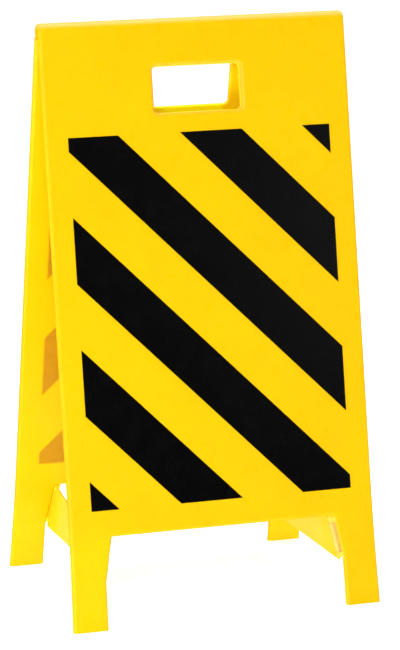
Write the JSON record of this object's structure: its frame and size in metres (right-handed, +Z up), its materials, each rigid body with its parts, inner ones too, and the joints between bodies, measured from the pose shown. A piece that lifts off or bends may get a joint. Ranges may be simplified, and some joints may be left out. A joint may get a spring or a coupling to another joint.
{
  "type": "warning sign stand",
  "caption": "Folding A-frame floor stand with hazard-striped plastic panels hinged along a rounded top, hand holes, legs and swinging braces that hold it open.",
  "frame": {"origin": "on the floor, in the middle of the four feet", "axes": "+Z up, +X to the right across the panels, front panel towards -Y"},
  "size_m": [0.3142, 0.2364, 0.5698],
  "materials": {
    "panel_plastic": "satin",
    "brace_plastic": "satin",
    "stripe_film": "satin",
    "steel": "satin"
  },
  "bodies": {
    "front_frame": {"front_panel": "panel_plastic", "hinge_rod": "steel", "hinge_rod_plugs": "panel_plastic", "right_brace_pin": "steel", "front_stripe_1": "stripe_film", "front_stripe_2": "stripe_film", "front_stripe_3": "stripe_film", "front_stripe_4": "stripe_film", "front_stripe_5": "stripe_film", "front_stripe_6": "stripe_film"},
    "rear_frame": {"rear_panel": "panel_plastic", "left_brace_pin": "steel", "rear_stripe_1": "stripe_film", "rear_stripe_2": "stripe_film", "rear_stripe_3": "stripe_film", "rear_stripe_4": "stripe_film", "rear_stripe_5": "stripe_film", "rear_stripe_6": "stripe_film"},
    "right_brace_body": {"right_brace": "brace_plastic"},
    "left_brace_body": {"left_brace": "brace_plastic"}
  },
  "joints": [
    {"name": "panel_fold", "type": "hinge", "parent": "front_frame", "child": "rear_frame", "pos_m": [0, 0, 0.56176], "axis": [-1, 0, 0], "range_deg": [0, 22.16]},
    {"name": "right_brace_swing", "type": "hinge", "parent": "front_frame", "child": "right_brace_body", "pos_m": [0.10994, -0.0973, 0.08701], "axis": [-0.1887, 0.1887, 0.9637], "range_deg": [0, 91.1]},
    {"name": "left_brace_swing", "type": "hinge", "parent": "rear_frame", "child": "left_brace_body", "pos_m": [-0.10994, 0.0973, 0.08701], "axis": [0.1887, -0.1887, 0.9637], "range_deg": [0, 91.1]}
  ]
}
